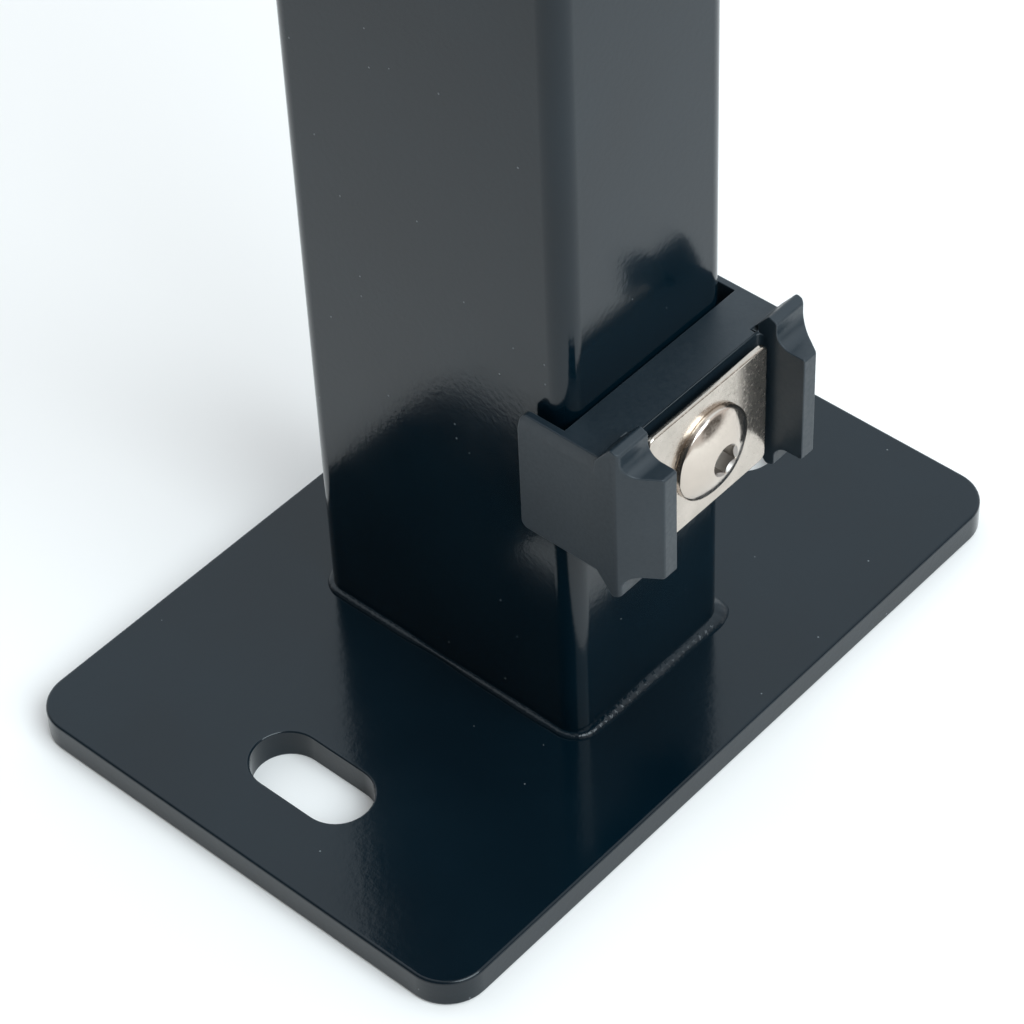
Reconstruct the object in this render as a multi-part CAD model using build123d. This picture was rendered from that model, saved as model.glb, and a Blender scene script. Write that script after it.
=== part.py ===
from build123d import *
import os

# Steel fence post for a rod mesh panel: a rectangular tube welded to a slotted base plate, with a
# push-in cap and a column of clips. Each clip is a plastic saddle on the narrow front face of the
# tube and a steel clamp plate, held by a domed bolt in a rivet nut.
#
# Millimetres. The origin is the middle of the base plate's underside, +Z is up, X runs along the
# base plate, and the clips are on the -Y side.

# ---- driving dimensions -------------------------------------------------------------------------

# base plate
PLATE_LENGTH = 150.0        # along X
PLATE_WIDTH = 100.0         # along Y
PLATE_THICKNESS = 6.0
PLATE_CORNER = 8.0
PLATE_EDGE = 0.6            # rounding of the top and bottom rims
SLOT_LENGTH = 25.0          # end to end, along Y
SLOT_WIDTH = 13.0
SLOT_MARGIN = 20.0          # from the plate's end to the middle of the slot
DRAIN_DIAMETER = 16.0       # hole in the plate under the tube

# tube
TUBE_X = 40.0
TUBE_Y = 60.0
TUBE_WALL = 2.0
TUBE_CORNER = 4.0           # outer corner radius
WELD_LEG = 2.0

# clip levels
CLIP_COUNT = 4
CLIP_FIRST = 68.8           # lowest bolt axis above the ground
CLIP_PITCH = 200.0          # one mesh of the panel
TOP_ALLOWANCE = 31.2        # from the highest bolt axis to the tube's top end

# cap
CAP_TOP = 4.0
CAP_EDGE = 2.0              # rounding of the cap's upper rim
CAP_PLUG_DEPTH = 18.0
CAP_PLUG_WALL = 1.8
CAP_CLEARANCE = 0.3         # between the plug's walls and the tube's bore
CAP_RIB_THICKNESS = 1.6
CAP_RIB_REACH = 0.2         # how far the grip ribs stand out of the plug
CAP_RIB_STEP = 5.0          # height between grip ribs

# bolt, a metric 8 mm coarse thread drawn as a plain cylinder
BOLT_DIAMETER = 8.0
BOLT_PAST_NUT = 3.5         # how far the bolt's tip stands out of the nut
BOLT_TIP_CHAMFER = 0.9
HEAD_DIAMETER = 17.3
HEAD_RIM = 1.0
HEAD_DOME = 2.8
SOCKET_FLATS = 5.0
SOCKET_DEPTH = 2.7
SOCKET_CHAMFER = 0.12

# rivet nut set in the tube's front wall
NUT_WALL = 1.5              # outside the bolt's thread
NUT_FLANGE_REACH = 1.0      # how far the flange stands out of the body
NUT_FLANGE_THICKNESS = 1.2
NUT_BULGE = 2.0             # how far the set collar stands out of the body
NUT_BULGE_LENGTH = 3.5
NUT_THREAD_LENGTH = 8.5
THREAD_CLEARANCE = 0.05     # radial, between bolt and nut

# clamp plate
CLAMP_WIDTH = 30.0
CLAMP_HEIGHT = 25.6
CLAMP_THICKNESS = 1.3
CLAMP_GAP = 1.5             # between the saddle and the clamp plate, which is loosely screwed on
CLAMP_CORNER = 1.6
CLAMP_EDGE = 0.55           # the stamped edge is nearly half round
CLAMP_HOLE_PLAY = 0.5       # radial, round the bolt

# saddle
SADDLE_DEPTH = 9.7          # from the tube's face to the saddle's front face
SADDLE_HEIGHT = 24.6
SADDLE_GAP = 0.5            # between the tube's face and the saddle, which rests on the nut's flange
SADDLE_RISE = 0.8           # how far the saddle sits above the bolt axis, within its hole's play
SADDLE_HOLE_PLAY = 1.0      # radial, round the bolt
SADDLE_EDGE = 0.3
FLANGE_PLAY = 1.3           # radial, round the nut's flange
LEG_GAP = 1.3               # between a leg and the side of the tube
LEG_WALL = 2.2
LEG_REACH = 7.6             # how far a leg laps the side of the tube
LEG_CORNER = 1.4
SHOULDER_DROP = 2.7         # bevel along the saddle's upper outer edges
SHOULDER_WIDTH = 0.9
FINGER_PLAY = 1.1           # between the clamp plate and a finger
NOSE_WIDTH = 3.0
NOSE_REACH = 19.1           # from the tube's face to the tip of the nose
NOSE_HEIGHT = 22.2
NOSE_EDGE = 0.5
HORN_HEIGHT = 32.8          # over the tips of the upper and lower horns
HORN_RAMP_START = 8.4       # distances from the tube's face, along the horn's profile
HORN_TIP = 11.6
HORN_WALL = 13.3
HORN_TIP_DROP = 0.7
HORN_TIP_RADIUS = 0.7
FLARE_START = 12.6          # where the finger's outer side starts to slope in
NOTCH_RADIUS = 2.8          # seat of a mesh rod between horn and nose
ROOT_RADIUS = 1.0           # inside corner between a finger and the saddle's front face
RELIEF_WIDTH = 1.2          # small pocket in the top and bottom beside each finger's root
RELIEF_LENGTH = 1.1
RELIEF_DEPTH = 1.5

# ---- values that follow -------------------------------------------------------------------------

CLIP_LEVELS = [CLIP_FIRST + i * CLIP_PITCH for i in range(CLIP_COUNT)]
POST_TOP = CLIP_LEVELS[-1] + TOP_ALLOWANCE
FRONT = -TUBE_Y / 2                         # y of the tube's front face
SLOT_X = PLATE_LENGTH / 2 - SLOT_MARGIN
BORE_X = TUBE_X - 2 * TUBE_WALL
BORE_Y = TUBE_Y - 2 * TUBE_WALL
BORE_CORNER = TUBE_CORNER - TUBE_WALL
BOLT_RADIUS = BOLT_DIAMETER / 2
NUT_RADIUS = BOLT_RADIUS + NUT_WALL
FLANGE_RADIUS = NUT_RADIUS + NUT_FLANGE_REACH
NUT_END = TUBE_WALL + NUT_BULGE_LENGTH + NUT_THREAD_LENGTH
FINGER_INNER = CLAMP_WIDTH / 2 + FINGER_PLAY
LEG_INNER = TUBE_X / 2 + LEG_GAP
LEG_OUTER = LEG_INNER + LEG_WALL
CLAMP_BACK = SADDLE_DEPTH + CLAMP_GAP
CLAMP_FRONT = CLAMP_BACK + CLAMP_THICKNESS


def rounded_block(length, width, height, corner, base=0.0):
    """Upright block with rounded corners, centred on the Z axis and standing at height base."""
    return Pos(0, 0, base) * extrude(RectangleRounded(length, width, corner), amount=height)


def turned(outline):
    """Solid of revolution about the Y axis. Each outline point is (radius, y)."""
    return revolve(make_face(Polyline(*outline, close=True)), axis=Axis.Y, revolution_arc=360)


def corner_at(sketch, places):
    """The vertices of a flat outline that lie at the given places."""
    return [v for v in sketch.vertices() if any((v.center() - Vector(*p)).length < 1e-6 for p in places)]


# ---- base and post ------------------------------------------------------------------------------

def base_plate():
    plate = rounded_block(PLATE_LENGTH, PLATE_WIDTH, PLATE_THICKNESS, PLATE_CORNER)
    rims = plate.faces().sort_by(Axis.Z)
    plate = fillet(rims[0].edges() + rims[-1].edges(), PLATE_EDGE)
    slot = Rot(0, 0, 90) * SlotOverall(SLOT_LENGTH, SLOT_WIDTH)
    for side in (-1, 1):
        plate -= Pos(side * SLOT_X, 0, 0) * extrude(slot, amount=PLATE_THICKNESS)
    return plate - extrude(Circle(DRAIN_DIAMETER / 2), amount=PLATE_THICKNESS)


def base_weld():
    """Fillet weld round the tube's foot: a 45 degree skirt that narrows to the tube's outline."""
    foot = RectangleRounded(TUBE_X + 2 * WELD_LEG, TUBE_Y + 2 * WELD_LEG, TUBE_CORNER + WELD_LEG)
    skirt = Pos(0, 0, PLATE_THICKNESS) * extrude(foot, amount=WELD_LEG, taper=45)
    return skirt - rounded_block(TUBE_X, TUBE_Y, 2 * WELD_LEG, TUBE_CORNER, PLATE_THICKNESS)


def post_tube():
    height = POST_TOP - PLATE_THICKNESS
    tube = rounded_block(TUBE_X, TUBE_Y, height, TUBE_CORNER, PLATE_THICKNESS)
    tube -= rounded_block(BORE_X, BORE_Y, height, BORE_CORNER, PLATE_THICKNESS)
    for level in CLIP_LEVELS:
        hole = Cylinder(NUT_RADIUS, 2 * TUBE_WALL, rotation=(90, 0, 0))
        tube -= Pos(0, FRONT + TUBE_WALL / 2, level) * hole
    return tube


def post_cap():
    cap = rounded_block(TUBE_X, TUBE_Y, CAP_TOP, TUBE_CORNER, POST_TOP)
    cap = fillet(cap.faces().sort_by(Axis.Z)[-1].edges(), CAP_EDGE)
    plug_x = BORE_X - 2 * CAP_CLEARANCE
    plug_y = BORE_Y - 2 * CAP_CLEARANCE
    plug_corner = BORE_CORNER - CAP_CLEARANCE
    foot = POST_TOP - CAP_PLUG_DEPTH
    plug = rounded_block(plug_x, plug_y, CAP_PLUG_DEPTH, plug_corner, foot)
    rib_levels = [foot + CAP_RIB_STEP * (i + 0.5) for i in range(int(CAP_PLUG_DEPTH / CAP_RIB_STEP))]
    for level in rib_levels:
        reach = 2 * CAP_RIB_REACH
        plug += rounded_block(plug_x + reach, plug_y + reach, CAP_RIB_THICKNESS, plug_corner, level)
    hollow_x = plug_x - 2 * CAP_PLUG_WALL
    hollow_y = plug_y - 2 * CAP_PLUG_WALL
    plug -= Pos(0, 0, foot + CAP_PLUG_DEPTH / 2) * Box(hollow_x, hollow_y, CAP_PLUG_DEPTH)
    return cap + plug


# ---- clip, drawn with its origin where the bolt axis meets the tube's front face ------------------

def finger_profile():
    """Side view of a finger, as (y, z): a nose between two horns, with a rod notch at each horn."""
    half = SADDLE_HEIGHT / 2
    nose = NOSE_HEIGHT / 2
    horn = HORN_HEIGHT / 2
    upper = [
        (-HORN_RAMP_START, half),
        (-HORN_TIP, horn),
        (-HORN_WALL, horn - HORN_TIP_DROP),
        (-HORN_WALL, nose),
        (-NOSE_REACH, nose),
    ]
    lower = [(y, -z) for y, z in reversed(upper)]
    face = make_face(Polyline(*upper, *lower, close=True))
    ends = (1, -1)
    notches = [(-HORN_WALL, end * nose) for end in ends]
    tips = [(-HORN_TIP, end * horn) for end in ends]
    tips += [(-HORN_WALL, end * (horn - HORN_TIP_DROP)) for end in ends]
    noses = [(-NOSE_REACH, end * nose) for end in ends]
    for places, radius in ((notches, NOTCH_RADIUS), (tips, HORN_TIP_RADIUS), (noses, NOSE_EDGE)):
        face = fillet(corner_at(face, places), radius)
    return face


def finger():
    """Finger on the +X side. Its outer side slopes in from the saddle's width to the nose's."""
    block = extrude(Plane.YZ.offset(FINGER_INNER) * finger_profile(), amount=LEG_OUTER - FINGER_INNER)
    nose_side = FINGER_INNER + NOSE_WIDTH
    waste = Polyline(
        (LEG_OUTER, -FLARE_START),
        (nose_side, -NOSE_REACH),
        (nose_side, -NOSE_REACH - 1),
        (LEG_OUTER + 1, -NOSE_REACH - 1),
        (LEG_OUTER + 1, -FLARE_START),
        close=True,
    )
    return block - extrude(make_face(waste), amount=HORN_HEIGHT, both=True)


def shoulder_waste():
    """Wedge that bevels the saddle's upper outer edge on the +X side."""
    half = SADDLE_HEIGHT / 2
    wedge = Polyline(
        (LEG_OUTER, half - SHOULDER_DROP),
        (LEG_OUTER + 1, half - SHOULDER_DROP),
        (LEG_OUTER + 1, half + 1),
        (LEG_OUTER - SHOULDER_WIDTH, half + 1),
        (LEG_OUTER - SHOULDER_WIDTH, half),
        close=True,
    )
    return extrude(Plane.XZ * make_face(wedge), amount=SADDLE_DEPTH + LEG_REACH, both=True)


def finger_root():
    """Filler with a hollow quarter-round front, in the corner inside the +X finger."""
    x = FINGER_INNER - ROOT_RADIUS
    y = -SADDLE_DEPTH - ROOT_RADIUS
    height = SADDLE_HEIGHT - 2 * SADDLE_EDGE
    block = Pos(x + ROOT_RADIUS / 2, y + ROOT_RADIUS / 2, 0) * Box(ROOT_RADIUS, ROOT_RADIUS, height)
    return block - Pos(x, y, 0) * Cylinder(ROOT_RADIUS, height)


def relief_pockets():
    """Waste of the two pockets beside the +X finger's root."""
    pocket = Box(RELIEF_WIDTH, RELIEF_LENGTH, 2 * RELIEF_DEPTH)
    y = -SADDLE_DEPTH + SADDLE_EDGE + RELIEF_LENGTH / 2
    return [Pos(FINGER_INNER, y, end * SADDLE_HEIGHT / 2) * pocket for end in (-1, 1)]


def clip_saddle():
    slab_depth = SADDLE_DEPTH - SADDLE_GAP
    slab = Pos(0, -SADDLE_GAP - slab_depth / 2, 0) * Box(2 * LEG_OUTER, slab_depth, SADDLE_HEIGHT)
    saddle = fillet(slab.edges().filter_by(Axis.X).group_by(Axis.Y)[0], SADDLE_EDGE)
    leg_length = LEG_REACH + SADDLE_GAP
    leg_x = (LEG_INNER + LEG_OUTER) / 2
    for side in (-1, 1):
        leg = Box(LEG_WALL, leg_length, SADDLE_HEIGHT)
        saddle += Pos(side * leg_x, LEG_REACH - leg_length / 2, 0) * leg
    saddle = fillet(saddle.edges().filter_by(Axis.X).group_by(Axis.Y)[-1], LEG_CORNER)
    for waste in (shoulder_waste(), shoulder_waste().mirror(Plane.YZ)):
        saddle -= waste
    for piece in (finger(), finger_root()):
        saddle += piece
        saddle += piece.mirror(Plane.YZ)
    for pocket in relief_pockets():
        saddle -= pocket
        saddle -= pocket.mirror(Plane.YZ)
    hole = Cylinder(BOLT_RADIUS + SADDLE_HOLE_PLAY, 3 * SADDLE_DEPTH, rotation=(90, 0, 0))
    recess = Cylinder(FLANGE_RADIUS + FLANGE_PLAY, 2 * NUT_FLANGE_THICKNESS, rotation=(90, 0, 0))
    return Pos(0, 0, SADDLE_RISE) * (saddle - hole - recess)


def clip_nut():
    """Rivet nut after setting: flange outside the wall, collar folded against its inside."""
    bore = BOLT_RADIUS + THREAD_CLEARANCE
    collar = NUT_RADIUS + NUT_BULGE
    collar_end = TUBE_WALL + NUT_BULGE_LENGTH
    return turned([
        (bore, -NUT_FLANGE_THICKNESS),
        (FLANGE_RADIUS, -NUT_FLANGE_THICKNESS),
        (FLANGE_RADIUS, 0),
        (NUT_RADIUS, 0),
        (NUT_RADIUS, TUBE_WALL),
        (collar, TUBE_WALL),
        (collar, TUBE_WALL + NUT_BULGE_LENGTH / 2),
        (NUT_RADIUS, collar_end),
        (NUT_RADIUS, NUT_END),
        (bore, NUT_END),
    ])


def clamp_plate():
    face = RectangleRounded(CLAMP_WIDTH, CLAMP_HEIGHT, CLAMP_CORNER)
    plate = extrude(Plane.XZ.offset(CLAMP_BACK) * face, amount=CLAMP_THICKNESS)
    broad = plate.faces().sort_by(Axis.Y)
    plate = fillet(broad[0].edges() + broad[-1].edges(), CLAMP_EDGE)
    hole = Cylinder(BOLT_RADIUS + CLAMP_HOLE_PLAY, 4 * CLAMP_FRONT, rotation=(90, 0, 0))
    return plate - hole


def clamp_bolt():
    """Domed head with a hexagon socket, on a plain shank with a chamfered tip."""
    seat = -CLAMP_FRONT
    rim = seat - HEAD_RIM
    top = rim - HEAD_DOME
    radius = HEAD_DIAMETER / 2
    tip = NUT_END + BOLT_PAST_NUT
    socket_corner = SOCKET_FLATS / 2 / 0.75 ** 0.5
    crown = socket_corner + SOCKET_CHAMFER
    sphere = (radius ** 2 + HEAD_DOME ** 2) / (2 * HEAD_DOME)
    sphere_y = top + sphere
    crown_y = sphere_y - (sphere ** 2 - crown ** 2) ** 0.5
    middle = (radius + crown) / 2
    middle_y = sphere_y - (sphere ** 2 - middle ** 2) ** 0.5
    outline = (
        Line((0, crown_y), (crown, crown_y))
        + ThreePointArc((crown, crown_y), (middle, middle_y), (radius, rim))
        + Polyline(
            (radius, rim),
            (radius, seat),
            (BOLT_RADIUS, seat),
            (BOLT_RADIUS, tip - BOLT_TIP_CHAMFER),
            (BOLT_RADIUS - BOLT_TIP_CHAMFER, tip),
            (0, tip),
            (0, crown_y),
        )
    )
    bolt = revolve(make_face(outline), axis=Axis.Y, revolution_arc=360)
    hexagon = RegularPolygon(socket_corner, 6, rotation=90)
    socket = extrude(Plane.XZ.offset(-crown_y) * hexagon, amount=-SOCKET_DEPTH)
    mouth = Pos(0, crown_y, 0) * turned([
        (0, 0),
        (crown, 0),
        (crown - SOCKET_CHAMFER * 2, SOCKET_CHAMFER * 2),
        (0, SOCKET_CHAMFER * 2),
    ])
    return bolt - socket - mouth


# ---- write one file per piece -------------------------------------------------------------------

pieces = {
    "base_plate": base_plate(),
    "base_weld": base_weld(),
    "post_tube": post_tube(),
    "post_cap": post_cap(),
}
clip_pieces = {
    "clip_saddle": clip_saddle(),
    "clip_nut": clip_nut(),
    "clamp_plate": clamp_plate(),
    "clamp_bolt": clamp_bolt(),
}
for number, level in enumerate(CLIP_LEVELS, start=1):
    for name, solid in clip_pieces.items():
        pieces[f"{name}_{number}"] = Pos(0, FRONT, level) * solid

os.makedirs("parts", exist_ok=True)
for name, solid in pieces.items():
    solid.label = name
    export_step(solid, f"parts/{name}.step")
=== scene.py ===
import bmesh
import bpy
import numpy as np
from mathutils import Matrix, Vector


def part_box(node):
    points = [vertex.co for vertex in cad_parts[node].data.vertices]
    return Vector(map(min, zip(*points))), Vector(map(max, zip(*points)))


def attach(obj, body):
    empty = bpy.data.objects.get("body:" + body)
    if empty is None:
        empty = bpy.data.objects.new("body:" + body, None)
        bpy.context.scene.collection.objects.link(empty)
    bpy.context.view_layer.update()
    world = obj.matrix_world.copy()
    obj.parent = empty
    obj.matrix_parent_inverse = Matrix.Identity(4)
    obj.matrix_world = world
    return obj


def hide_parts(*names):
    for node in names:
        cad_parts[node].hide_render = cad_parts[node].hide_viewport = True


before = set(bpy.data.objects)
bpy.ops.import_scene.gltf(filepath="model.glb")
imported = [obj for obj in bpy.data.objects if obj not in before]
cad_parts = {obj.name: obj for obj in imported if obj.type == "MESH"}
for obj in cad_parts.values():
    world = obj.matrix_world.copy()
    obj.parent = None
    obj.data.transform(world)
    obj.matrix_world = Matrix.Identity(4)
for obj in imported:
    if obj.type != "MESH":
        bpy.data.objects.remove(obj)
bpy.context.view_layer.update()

# Steel fence post on a slotted base plate, with a push-in cap and a column of mesh-panel clips.
# Metres throughout, in the frame of the part: +Z up the post, -Y towards the panel.

TURN = 2 * np.pi

# ---- view and studio ----------------------------------------------------------------------------

VIEW_TARGET = (-0.02424, -0.02110, 0.060)
VIEW_AZIMUTH = -46.76       # degrees, as are the next two
VIEW_ELEVATION = 45.17
VIEW_ROLL = -2.75
VIEW_DISTANCE = 0.58545
LENS_MM = 126.83
SENSOR_MM = 36.0
VIEW_REACH = 100.0
SURROUND_COLOUR = (1.0, 0.985, 0.975)
SURROUND_STRENGTH = 0.80
BACKDROP_COLOUR = (0.88, 0.89, 0.90)     # what shows behind the object
# parts of the far surroundings that differ: heading, cosines between which it fades in, colour
WALLS = (
    ((0.44, -0.89, 0.06), (0.925, 0.965), (0.16, 0.15, 0.14)),
    ((-0.97, 0.10, 0.20), (0.15, 0.75), (0.20, 0.185, 0.175)),
    ((0.51, 0.48, 0.71), (0.30, 0.85), (1.38, 1.52, 1.62)),
)
FRONT_LIGHT_PLACE = (-0.08, -0.95, 1.02)
FRONT_LIGHT_SIZE = 1.0
FRONT_LIGHT_WATTS = 17.5
FRONT_LIGHT_COLOUR = (0.80, 0.93, 1.0)
FLOOR_REACH = 6.0
FLOOR_COLOUR = (0.93, 0.90, 0.875)
FLOOR_ROUGHNESS = 0.9

# ---- softened edges -----------------------------------------------------------------------------

SHARP_ANGLE = 35.0          # degrees; edges sharper than this are rounded and shaded sharp
FLAT_ANGLE = 0.5            # degrees; triangles closer to one plane than this are one face
MERGE_DIGITS = 7            # decimals of a metre that tell two corners apart
TUBE_EDGE = 0.00015
PLATE_EDGE = 0.00025
CAP_EDGE = 0.00020
SADDLE_EDGE = 0.00016
CLAMP_EDGE = 0.00010
NUT_EDGE = 0.00010

# ---- clip hardware ------------------------------------------------------------------------------

HEAD_RIM = 0.0010
HEAD_DOME = 0.0028
HEAD_ROLL = 0.00012         # rounding where dome meets rim
DOME_ROWS = 14
SOCKET_FLATS = 0.0050
SOCKET_DEPTH = 0.0027
SOCKET_CHAMFER = 0.00012
SOCKET_DRILL = 0.0008       # depth of the drill point below the socket's floor
SOCKET_DRILL_REACH = 0.75   # its width as a share of the socket's
SHANK_RADIUS = 0.0040
THREAD_PITCH = 0.00125
THREAD_DEPTH = 0.00068
THREAD_STEEPNESS = 1.3      # over 1 the crests and roots are flat
THREAD_FLAT = 0.15          # share of the depth that the flats take off each end
THREAD_ROWS = 10            # along one pitch
TIP_CHAMFER = 0.0009
BOLT_COLUMNS = 96           # round the bolt, a multiple of the socket's six sides

# ---- weld ---------------------------------------------------------------------------------------

TUBE_CORNER = 0.0040
WELD_UP = 0.0010            # up the tube's wall
WELD_OUT = 0.0013           # across the base plate
WELD_CROWN = 0.00032        # how far the bead bulges out of its chord
WELD_CROWN_SHARE = 0.7      # part of the bulge that goes along each leg
WELD_CROWN_RIPPLE = 0.12    # how much the bulge swells with a ripple
WELD_WANDER = 0.00085       # slow change of the bead's width
WELD_WANDER_UP = 0.6        # share of it that the leg up the wall takes
WELD_RIPPLE = 0.00003
WELD_RIPPLE_STEP = 0.0016
WELD_RIPPLE_MIDDLE = 0.6    # taken off each ripple, so that it swings both ways
WELD_END = 0.986            # where the bead ends in a small lump, as a share of its path
WELD_END_LENGTH = 0.0015
WELD_END_SWELL = 0.0006
WELD_END_UP = 0.8           # share of the lump that the leg up the wall takes
WELD_STATIONS = 1200
WELD_ARC_POINTS = 9
WELD_BURY = 0.0004          # how far the bead's back lies inside the steel
WELD_SHARP_ANGLE = 60.0
# waves round the bead: size, how many to the round, and where each starts in radians
SLOW_WAVES = ((0.35, 1, TURN / 4 + 0.4), (0.35, 2, TURN / 4 + 0.755), (0.2, 7, 2.1), (0.1, 13, 4.0))
LEAN_WAVES = ((2.6, 5, 1.0), (1.1, 11, 0.0))

# ---- colours and textures of the finishes -------------------------------------------------------

COAT_SPECULAR = 0.36
COAT_DARK = (0.0007, 0.0056, 0.0100)
COAT_LIGHT = (0.0014, 0.0080, 0.0136)
# painted highlight: lighter colour laid along the coat's sharp edges
COAT_EDGE_HIGHLIGHT = (0.055, 0.068, 0.080)
COAT_GLOSS = (0.115, 0.160)
WELD_GLOSS = (0.08, 0.22)
WELD_GRIT = 0.00005
NIB_COLOUR = (0.19, 0.21, 0.22)
NIB_HEIGHT = 0.00003
ORANGE_PEEL = 0.000015
COAT_GRAIN = 0.0000022
# painted highlight: lighter colour laid along the plastic's sharp edges
PLASTIC_EDGE_HIGHLIGHT = (0.105, 0.128, 0.148)
PLASTIC_GRAIN = 0.000012
PLASTIC_WAVE = 0.000014
PIT_COLOUR = (0.30, 0.28, 0.26)

# places of the two colours and of the result among a Mix node's sockets
MIX_FIRST, MIX_SECOND, MIX_RESULT = 6, 7, 2


# ---- meshes -------------------------------------------------------------------------------------

def new_piece(name, points, faces, sharp_angle=SHARP_ANGLE):
    """Mesh object at the origin, smooth but for edges sharper than sharp_angle degrees."""
    mesh = bpy.data.meshes.new(name)
    mesh.from_pydata(points, [], faces)
    mesh.update()
    mesh.shade_smooth()
    mesh.set_sharp_from_angle(angle=np.radians(sharp_angle))
    piece = bpy.data.objects.new(name, mesh)
    bpy.context.scene.collection.objects.link(piece)
    return piece


def grid_faces(rows, columns, close_rows=False):
    """Quads of a grid that closes round its columns, and round its rows too when asked."""
    last = rows if close_rows else rows - 1
    row, column = np.meshgrid(np.arange(last), np.arange(columns), indexing="ij")
    after_row = (row + 1) % rows
    after_column = (column + 1) % columns
    quads = np.stack((row * columns + column, row * columns + after_column,
                      after_row * columns + after_column, after_row * columns + column), axis=-1)
    return quads.reshape(-1, 4)


def joined_copy(node, name):
    """Copy of a CAD piece. Its loose triangles share corners, and flat runs of them are one face."""
    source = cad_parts[node].data
    points = np.empty(len(source.vertices) * 3)
    source.vertices.foreach_get("co", points)
    corners = np.empty(len(source.loops), dtype=np.int64)
    source.loops.foreach_get("vertex_index", corners)
    rounded = np.round(points.reshape(-1, 3), MERGE_DIGITS)
    points, index = np.unique(rounded, axis=0, return_inverse=True)
    faces = index.reshape(-1)[corners].reshape(-1, 3)
    whole = (faces != np.roll(faces, 1, axis=1)).all(axis=1)
    piece = new_piece(name, points, faces[whole])
    shell = bmesh.new()
    shell.from_mesh(piece.data)
    bmesh.ops.dissolve_limit(shell, angle_limit=np.radians(FLAT_ANGLE), verts=shell.verts,
                             edges=shell.edges, delimit=set())
    shell.to_mesh(piece.data)
    shell.free()
    piece.data.shade_smooth()
    return piece


def soften(piece, edge):
    """Rounds every sharp edge, and keeps broad faces flat in their shading."""
    bevel = piece.modifiers.new("soft_edges", "BEVEL")
    bevel.width = edge
    bevel.segments = 2
    bevel.limit_method = "ANGLE"
    bevel.angle_limit = np.radians(SHARP_ANGLE)
    bevel.use_clamp_overlap = False
    flat = piece.modifiers.new("flat_faces", "WEIGHTED_NORMAL")
    flat.keep_sharp = True
    return piece


def place(piece, body, node, slot, *finishes):
    """Puts a finished piece on its body, in place of its CAD node, with its materials."""
    for finish in finishes:
        piece.data.materials.append(finish)
    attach(piece, body)
    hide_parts(node)


def waves(table, phase):
    """Sum of sines of the phase. Each row gives a size, a count to the round and a start."""
    return sum(size * np.sin(count * phase + start) for size, count, start in table)


def tube_outline(stations):
    """Evenly spaced stations on the rounded rectangle of the tube, from the middle of one side.

    Four straights and four quarter circles follow each other. A station on a straight lies at its
    length along it, and one on a quarter circle turns by its length over the radius. Returns each
    station's length along the path, the length of the whole path, and each station's place and
    outward direction in the plane.
    """
    low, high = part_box("post_tube")
    straight_x = (high.x - low.x) / 2 - TUBE_CORNER
    straight_y = (high.y - low.y) / 2 - TUBE_CORNER
    quarter = TUBE_CORNER * np.pi / 2
    runs = np.array((2 * straight_y, quarter, 2 * straight_x, quarter) * 2)
    ends = np.concatenate(((0.0,), np.cumsum(runs)))
    length = ends[-1]
    along = np.arange(stations) * length / stations
    run = np.searchsorted(ends, along, side="right") - 1
    part = along - ends[run]
    corner_x = np.array((1, 1, 1, -1, -1, -1, -1, 1))[run] * straight_x
    corner_y = np.array((-1, 1, 1, 1, 1, -1, -1, -1))[run] * straight_y
    heading = (run // 2) * np.pi / 2
    bend = np.where(run % 2 == 1, part / TUBE_CORNER, 0.0)
    travel = np.where(run % 2 == 0, part, 0.0)
    outward = np.stack((np.cos(heading + bend), np.sin(heading + bend)), axis=-1)
    start_x = corner_x - np.sin(heading) * travel + outward[:, 0] * TUBE_CORNER
    start_y = corner_y + np.cos(heading) * travel + outward[:, 1] * TUBE_CORNER
    return along, length, np.stack((start_x, start_y), axis=-1), outward


def weld_bead():
    """Bead round the tube's foot: a bulged triangle carried along the tube's outline.

    At each station the bead reaches up the wall and out on the plate. Both legs grow and shrink by
    a slow sum of sines and by a short ripple that leans with a second sum, so that no two ripples
    match, and swell by a bell curve of the distance from where the bead ends. Between the legs
    each point lies on their chord, pushed out by half a sine wave over the chord's length.
    """
    along, length, starts, outward = tube_outline(WELD_STATIONS)
    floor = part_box("base_plate")[1].z
    phase = along / length * TURN
    slow = waves(SLOW_WAVES, phase)
    lump = WELD_END_SWELL * np.exp(-((along - WELD_END * length) / WELD_END_LENGTH) ** 2)
    ripples = np.round(length / WELD_RIPPLE_STEP)
    ripple = np.abs(np.sin(ripples / 2 * phase + waves(LEAN_WAVES, phase))) - WELD_RIPPLE_MIDDLE
    up = WELD_UP + WELD_WANDER_UP * WELD_WANDER * slow + WELD_RIPPLE * ripple + WELD_END_UP * lump
    out = WELD_OUT + WELD_WANDER * slow + WELD_RIPPLE * ripple + lump
    up, out, ripple = up[:, None], out[:, None], ripple[:, None]
    share = np.linspace(0.0, 1.0, WELD_ARC_POINTS)[None, :]
    bulge = WELD_CROWN * np.sin(np.pi * share) * (1 + WELD_CROWN_RIPPLE * ripple)
    buried = np.full_like(up, -WELD_BURY)
    reach = np.hstack((buried, out * share + WELD_CROWN_SHARE * bulge, out, buried))
    rise = np.hstack((up, up * (1 - share) + WELD_CROWN_SHARE * bulge, buried, buried))
    spots = starts[:, None, :] + outward[:, None, :] * reach[:, :, None]
    points = np.concatenate((spots, (floor + rise)[:, :, None]), axis=-1)
    faces = grid_faces(WELD_STATIONS, points.shape[1], close_rows=True)
    return new_piece("weld_bead", points.reshape(-1, 3), faces, sharp_angle=WELD_SHARP_ANGLE)


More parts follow.
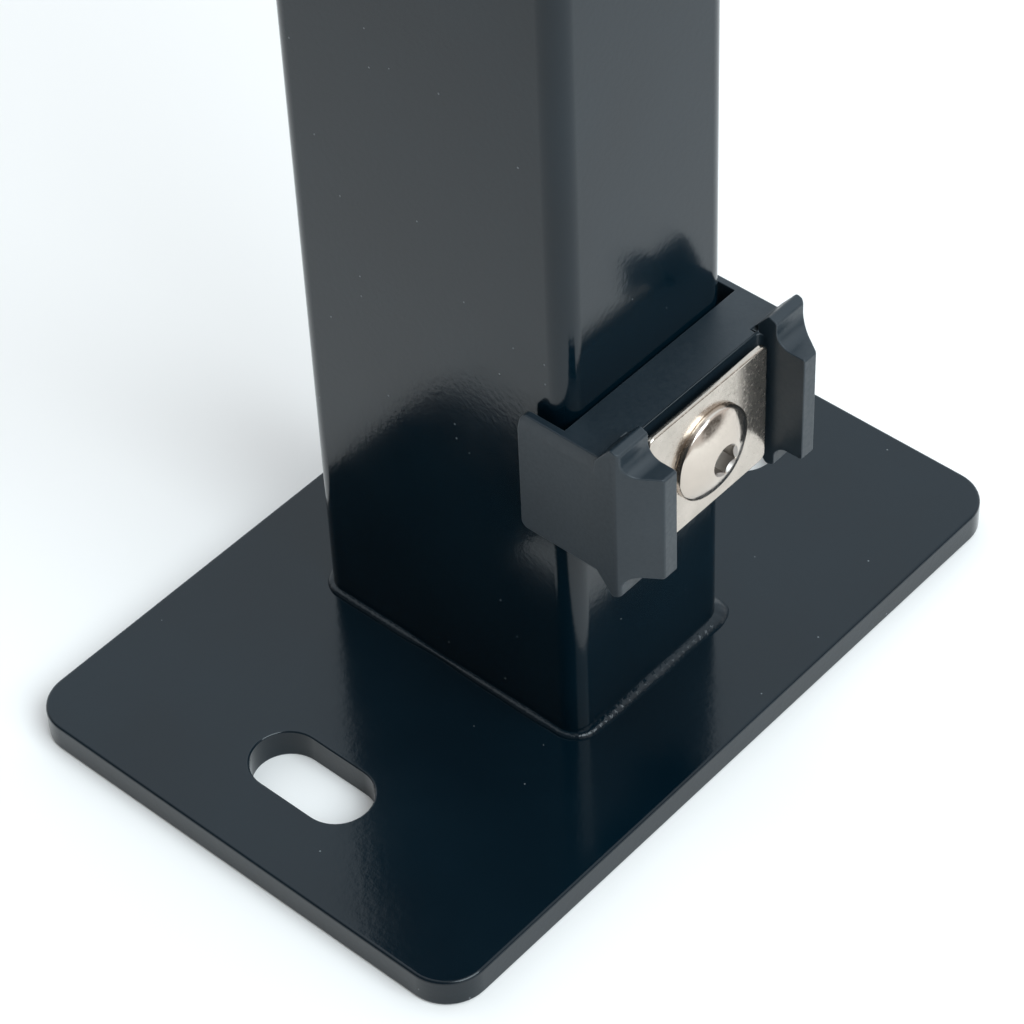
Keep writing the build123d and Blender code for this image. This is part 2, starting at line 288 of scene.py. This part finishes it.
def bolt(number):
    """Domed bolt as one turned skin, from the socket's drill point over the head to the tip.

    Each row of the grid gives a radius and a depth for every angle. Rows in the socket follow a
    hexagon, whose radius is its half flats over the cosine of the angle from the nearest flat.
    Rows on the dome follow a sphere through the crown and the rim. Rows on the shank swing between
    the thread's crest and root by a rounded triangle wave of depth over pitch less turns.
    """
    low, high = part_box(f"clamp_bolt_{number}")
    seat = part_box(f"clamp_plate_{number}")[0].y
    axis_x, axis_z = (low.x + high.x) / 2, (low.z + high.z) / 2
    radius = (high.x - low.x) / 2
    tip = high.y
    angle = np.arange(BOLT_COLUMNS) * TURN / BOLT_COLUMNS
    ring = np.ones(BOLT_COLUMNS)
    sixth = TURN / 6
    hexagon = SOCKET_FLATS / 2 / np.cos((angle + sixth / 2) % sixth - sixth / 2)
    crown_radius = SOCKET_FLATS / 2 / np.cos(sixth / 2) + SOCKET_CHAMFER
    sphere = (radius ** 2 + HEAD_DOME ** 2) / (2 * HEAD_DOME)
    rim = seat - HEAD_RIM
    middle = rim - HEAD_DOME + sphere
    crown = middle - np.sqrt(sphere ** 2 - crown_radius ** 2)
    socket_floor = crown + SOCKET_DEPTH
    rows = [(0 * ring, (socket_floor + SOCKET_DRILL) * ring),
            (SOCKET_DRILL_REACH * hexagon, socket_floor * ring),
            (hexagon, socket_floor * ring), (hexagon, crown + crown_radius - hexagon)]
    rows += [(r * ring, (middle - np.sqrt(sphere ** 2 - r ** 2)) * ring)
             for r in np.linspace(crown_radius, radius - HEAD_ROLL, DOME_ROWS)]
    rows += [(radius * ring, (rim + HEAD_ROLL) * ring), (radius * ring, (seat - HEAD_ROLL) * ring),
             ((radius - HEAD_ROLL) * ring, seat * ring), (SHANK_RADIUS * ring, seat * ring)]
    count = int(round((tip - seat) / THREAD_PITCH * THREAD_ROWS))
    for depth in np.linspace(seat, tip, count)[1:]:
        turns = (depth - seat) / THREAD_PITCH - angle / TURN
        wave = np.clip(np.abs(2 * (turns % 1.0) - 1) * THREAD_STEEPNESS - THREAD_FLAT, 0, 1)
        run_in = np.clip((depth - seat) / THREAD_PITCH, 0, 1)
        cone = SHANK_RADIUS - TIP_CHAMFER + (tip - depth)
        rows.append((np.minimum(SHANK_RADIUS - THREAD_DEPTH * wave * run_in, cone), depth * ring))
    rows.append((0 * ring, tip * ring))
    reach = np.stack([r for r, _ in rows])
    depth = np.stack([d for _, d in rows])
    grid = np.stack((axis_x + reach * np.cos(angle), depth, axis_z + reach * np.sin(angle)), axis=-1)
    piece = new_piece(f"domed_bolt_{number}", grid.reshape(-1, 3), grid_faces(len(rows), BOLT_COLUMNS))
    shell = bmesh.new()
    shell.from_mesh(piece.data)
    bmesh.ops.remove_doubles(shell, verts=shell.verts, dist=10.0 ** -MERGE_DIGITS)
    bmesh.ops.recalc_face_normals(shell, faces=shell.faces)
    shell.to_mesh(piece.data)
    shell.free()
    piece.data.set_sharp_from_angle(angle=np.radians(SHARP_ANGLE))
    middles = np.array([tuple(face.center) for face in piece.data.polygons])
    off_axis = np.hypot(middles[:, 0] - axis_x, middles[:, 2] - axis_z)
    inside = (off_axis < hexagon.max()) & (middles[:, 1] < socket_floor + SOCKET_DRILL)
    inside &= middles[:, 1] > crown
    piece.data.polygons.foreach_set("material_index", inside.astype(np.int32))
    return piece


# ---- finishes -----------------------------------------------------------------------------------

class Finish:
    """A material that is built up from noise on the piece's own coordinates."""

    def __init__(self, name, colour, roughness, metallic=0.0):
        self.material = bpy.data.materials.new(name)
        self.material.use_nodes = True
        self.nodes = self.material.node_tree.nodes
        self.link = self.material.node_tree.links.new
        self.shader = self.nodes["Principled BSDF"]
        self.shader.inputs["Base Color"].default_value = (*colour, 1.0)
        self.shader.inputs["Roughness"].default_value = roughness
        self.shader.inputs["Metallic"].default_value = metallic
        self.place = self.nodes.new("ShaderNodeTexCoord").outputs["Object"]

    def noise(self, scale, detail=2.0, roughness=0.5):
        """Soft patches of 0 to 1, about scale of them to a metre."""
        node = self.nodes.new("ShaderNodeTexNoise")
        node.inputs["Scale"].default_value = scale
        node.inputs["Detail"].default_value = detail
        node.inputs["Roughness"].default_value = roughness
        self.link(self.place, node.inputs["Vector"])
        return node.outputs["Fac"]

    def spread(self, value, low, high, start=0.3, end=0.7):
        """Maps a value from start..end to low..high."""
        node = self.nodes.new("ShaderNodeMapRange")
        for name, number in (("From Min", start), ("From Max", end), ("To Min", low), ("To Max", high)):
            node.inputs[name].default_value = number
        self.link(value, node.inputs["Value"])
        return node.outputs["Result"]

    def math(self, operation, first, second):
        """One sum, product or comparison of two values or numbers."""
        node = self.nodes.new("ShaderNodeMath")
        node.operation = operation
        for socket, value in zip(node.inputs, (first, second)):
            if isinstance(value, float):
                socket.default_value = value
            else:
                self.link(value, socket)
        return node.outputs["Value"]

    def mix(self, share, first, second):
        """Colour that goes from first to second by share."""
        node = self.nodes.new("ShaderNodeMix")
        node.data_type = "RGBA"
        self.link(share, node.inputs["Factor"])
        for socket, colour in ((MIX_FIRST, first), (MIX_SECOND, second)):
            if isinstance(colour, tuple):
                node.inputs[socket].default_value = (*colour, 1.0)
            else:
                self.link(colour, node.inputs[socket])
        return node.outputs[MIX_RESULT]

    def specks(self, scale, radius, share):
        """1 in small round spots, which only a share of the cells hold, scale cells to a metre."""
        node = self.nodes.new("ShaderNodeTexVoronoi")
        node.inputs["Scale"].default_value = scale
        self.link(self.place, node.inputs["Vector"])
        spot = self.math("LESS_THAN", node.outputs["Distance"], radius)
        pick = self.nodes.new("ShaderNodeSeparateColor")
        self.link(node.outputs["Color"], pick.inputs["Color"])
        return self.math("MULTIPLY", spot, self.math("LESS_THAN", pick.outputs["Red"], share))

    def edges(self, radius):
        """1 along sharp edges and 0 on flats, from how far a rounded normal leans off the true one. It
        places the painted edge highlights.
        """
        rounded = self.nodes.new("ShaderNodeBevel")
        rounded.inputs["Radius"].default_value = radius
        true = self.nodes.new("ShaderNodeNewGeometry")
        lean = self.nodes.new("ShaderNodeVectorMath")
        lean.operation = "DOT_PRODUCT"
        self.link(rounded.outputs["Normal"], lean.inputs[0])
        self.link(true.outputs["Normal"], lean.inputs[1])
        return self.spread(lean.outputs["Value"], 1.0, 0.0, start=0.80, end=0.99)

    def bump(self, *layers):
        """Stacks bumps. Each layer is a height and its distance in metres."""
        below = None
        for height, distance in layers:
            node = self.nodes.new("ShaderNodeBump")
            node.inputs["Strength"].default_value = 1.0
            node.inputs["Distance"].default_value = distance
            self.link(height, node.inputs["Height"])
            if below is not None:
                self.link(below, node.inputs["Normal"])
            below = node.outputs["Normal"]
        self.link(below, self.shader.inputs["Normal"])

    def colour(self, value):
        self.link(value, self.shader.inputs["Base Color"])

    def roughness(self, value):
        self.link(value, self.shader.inputs["Roughness"])


def powder_coat(name="powder_coat", gloss=COAT_GLOSS, grit=0.0):
    """Semi-gloss anthracite coat: orange peel, faint cloudiness, dust nibs and painted highlights on
    sharp edges.
    """
    coat = Finish(name, COAT_DARK, sum(gloss) / 2)
    coat.shader.inputs["Specular IOR Level"].default_value = COAT_SPECULAR
    cloud = coat.spread(coat.noise(38.0, detail=3.0), 0.0, 1.0)
    nibs = coat.specks(240.0, radius=0.042, share=0.22)
    # painted highlight: a share of the edge mask that lightens the coat along sharp edges
    edge_highlight = coat.math("MULTIPLY", coat.edges(radius=0.0007), 0.35)
    body = coat.mix(edge_highlight, coat.mix(cloud, COAT_DARK, COAT_LIGHT), COAT_EDGE_HIGHLIGHT)
    coat.colour(coat.mix(coat.math("MULTIPLY", nibs, 0.7), body, NIB_COLOUR))
    sheen = coat.spread(coat.noise(90.0, detail=4.0), *gloss)
    coat.roughness(coat.math("ADD", sheen, coat.math("MULTIPLY", nibs, 0.2)))
    coat.bump((coat.noise(900.0), ORANGE_PEEL + grit),
              (coat.noise(3000.0, detail=1.0), COAT_GRAIN + grit), (nibs, NIB_HEIGHT))
    return coat.material


def moulded_plastic(name, dark, light, rough):
    """Glass-filled plastic with a fine spark-eroded grain, flow clouds and painted highlights on its
    edges.
    """
    plastic = Finish(name, dark, rough)
    cloud = plastic.spread(plastic.noise(70.0, detail=4.0), 0.0, 1.0)
    # painted highlight: a share of the edge mask that lightens the plastic along sharp edges
    edge_highlight = plastic.math("MULTIPLY", plastic.edges(radius=0.00035), 0.45)
    plastic.colour(plastic.mix(edge_highlight, plastic.mix(cloud, dark, light), PLASTIC_EDGE_HIGHLIGHT))
    plastic.roughness(plastic.spread(plastic.noise(1400.0, detail=3.0), rough - 0.07, rough + 0.07))
    plastic.bump((plastic.noise(2400.0, detail=3.0), PLASTIC_GRAIN),
                 (plastic.noise(300.0), PLASTIC_WAVE))
    return plastic.material


def tumbled_steel(name, bright, dull, rough, grain):
    """Bare steel with the short, crossing grain that tumbling leaves, and a few darker pits."""
    steel = Finish(name, bright, rough, metallic=1.0)
    pits = steel.math("MULTIPLY", steel.specks(1900.0, radius=0.11, share=0.12), 0.55)
    cloud = steel.spread(steel.noise(260.0, detail=5.0), 0.0, 1.0)
    steel.colour(steel.mix(pits, steel.mix(cloud, bright, dull), PIT_COLOUR))
    steel.roughness(steel.spread(steel.noise(1500.0, detail=4.0), rough - 0.06, rough + 0.10))
    steel.bump((steel.noise(3200.0, detail=4.0), grain), (steel.noise(900.0), 1.5 * grain))
    return steel.material


# ---- studio -------------------------------------------------------------------------------------

def stand_up(thing, side, up, back, spot):
    """Puts a camera or a lamp in the scene by its own three axes and where it stands."""
    pose = np.eye(4)
    pose[:3] = np.column_stack((side, up, back, spot))
    thing.matrix_world = Matrix(pose.tolist())
    bpy.context.scene.collection.objects.link(thing)


def aim_camera():
    """Camera looking at the target; its axes are right, up and back, turned by the roll."""
    azimuth, elevation, roll = np.radians((VIEW_AZIMUTH, VIEW_ELEVATION, VIEW_ROLL))
    back = np.array((np.sin(azimuth) * np.cos(elevation), -np.cos(azimuth) * np.cos(elevation),
                     np.sin(elevation)))
    right = np.array((np.cos(azimuth), np.sin(azimuth), 0.0))
    up = np.cross(back, right)
    turned_right = np.cos(roll) * right + np.sin(roll) * up
    turned_up = -np.sin(roll) * right + np.cos(roll) * up
    camera = bpy.data.objects.new("camera", bpy.data.cameras.new("camera"))
    camera.data.lens = LENS_MM
    camera.data.sensor_width = SENSOR_MM
    camera.data.clip_end = VIEW_REACH
    stand_up(camera, turned_right, turned_up, back, np.array(VIEW_TARGET) + back * VIEW_DISTANCE)
    bpy.context.scene.camera = camera


def build_surroundings():
    """Pale surroundings, dimmer on two sides and brighter behind, before a plain backdrop."""
    world = bpy.data.worlds.new("studio")
    bpy.context.scene.world = world
    bpy.context.scene.view_settings.view_transform = "Standard"
    world.use_nodes = True
    sky = world.node_tree.nodes["Background"]
    nodes, link = world.node_tree.nodes, world.node_tree.links.new
    direction = nodes.new("ShaderNodeTexCoord").outputs["Generated"]

    def blend(share, below, colour):
        """Goes from what is below, or the plain surroundings, to the colour by share."""
        node = nodes.new("ShaderNodeMix")
        node.data_type = "RGBA"
        node.inputs[MIX_FIRST].default_value = (*SURROUND_COLOUR, 1.0)
        node.inputs[MIX_SECOND].default_value = (*colour, 1.0)
        link(share, node.inputs["Factor"])
        if below is not None:
            link(below, node.inputs[MIX_FIRST])
        return node.outputs[MIX_RESULT]

    around = None
    for heading, (start, end), wall_colour in WALLS:
        lean = nodes.new("ShaderNodeVectorMath")
        lean.operation = "DOT_PRODUCT"
        link(direction, lean.inputs[0])
        lean.inputs[1].default_value = heading
        fade = nodes.new("ShaderNodeMapRange")
        fade.inputs["From Min"].default_value = start
        fade.inputs["From Max"].default_value = end
        link(lean.outputs["Value"], fade.inputs["Value"])
        around = blend(fade.outputs["Result"], around, wall_colour)
    seen = nodes.new("ShaderNodeLightPath").outputs["Is Camera Ray"]
    link(blend(seen, around, BACKDROP_COLOUR), sky.inputs["Color"])
    sky.inputs["Strength"].default_value = SURROUND_STRENGTH


def hang_front_light():
    """Cool square lamp on the clip side, facing the foot of the post."""
    lamp = bpy.data.lights.new("front_light", "AREA")
    lamp.size = FRONT_LIGHT_SIZE
    lamp.energy = FRONT_LIGHT_WATTS
    lamp.color = FRONT_LIGHT_COLOUR
    back = np.array(FRONT_LIGHT_PLACE) / np.linalg.norm(FRONT_LIGHT_PLACE)
    side = np.cross((0.0, 0.0, 1.0), back)
    side /= np.linalg.norm(side)
    light = bpy.data.objects.new("front_light", lamp)
    stand_up(light, side, np.cross(back, side), back, FRONT_LIGHT_PLACE)


def lay_floor():
    """Square of pale paper that the post stands on."""
    mesh = bpy.data.meshes.new("floor")
    corners = [(x * FLOOR_REACH, y * FLOOR_REACH, 0.0) for x, y in ((-1, -1), (1, -1), (1, 1), (-1, 1))]
    mesh.from_pydata(corners, [], [(0, 1, 2, 3)])
    floor = bpy.data.objects.new("floor", mesh)
    bpy.context.scene.collection.objects.link(floor)
    floor.data.materials.append(Finish("paper_floor", FLOOR_COLOUR, FLOOR_ROUGHNESS).material)


# ---- build --------------------------------------------------------------------------------------

aim_camera()
build_surroundings()
hang_front_light()
lay_floor()

coat = powder_coat()
weld_coat = powder_coat("powder_coat_on_weld", gloss=WELD_GLOSS, grit=WELD_GRIT)
clip_plastic = moulded_plastic("clip_plastic", dark=(0.0070, 0.0148, 0.0215),
                               light=(0.0100, 0.0190, 0.0270), rough=0.42)
cap_plastic = moulded_plastic("cap_plastic", dark=(0.0100, 0.0135, 0.0165),
                              light=(0.0130, 0.0170, 0.0200), rough=0.60)
stainless = tumbled_steel("stainless", bright=(0.59, 0.525, 0.465), dull=(0.49, 0.440, 0.385),
                          rough=0.20, grain=0.0000030)
polished = tumbled_steel("stainless_head", bright=(0.62, 0.545, 0.480), dull=(0.56, 0.495, 0.435),
                         rough=0.15, grain=0.0000010)
forged = tumbled_steel("stainless_socket", bright=(0.46, 0.43, 0.40), dull=(0.34, 0.31, 0.29),
                       rough=0.34, grain=0.0000040)
zinc = tumbled_steel("zinc", bright=(0.72, 0.72, 0.70), dull=(0.58, 0.59, 0.58),
                     rough=0.34, grain=0.0000040)

for node, edge, body, slot, finish in (("post_tube", TUBE_EDGE, "post", "powder_coat", coat),
                                       ("base_plate", PLATE_EDGE, "post", "powder_coat", coat),
                                       ("post_cap", CAP_EDGE, "cap", "cap_plastic", cap_plastic)):
    place(soften(joined_copy(node, f"{node}_shell"), edge), body, node, slot, finish)
place(weld_bead(), "post", "base_weld", "powder_coat", weld_coat)

clip_numbers = [node.rsplit("_", 1)[1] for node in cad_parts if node.startswith("clip_saddle_")]
for k in clip_numbers:
    for node, name, edge, body, slot, finish in (
            (f"clip_saddle_{k}", f"saddle_{k}", SADDLE_EDGE, "post", "clip_plastic", clip_plastic),
            (f"clamp_plate_{k}", f"clamp_{k}", CLAMP_EDGE, f"clamp_{k}", "stainless", stainless),
            (f"clip_nut_{k}", f"rivet_nut_{k}", NUT_EDGE, "post", "nut_steel", zinc)):
        place(soften(joined_copy(node, name), edge), body, node, slot, finish)
    place(bolt(k), f"bolt_{k}", f"clamp_bolt_{k}", "stainless", polished, forged)
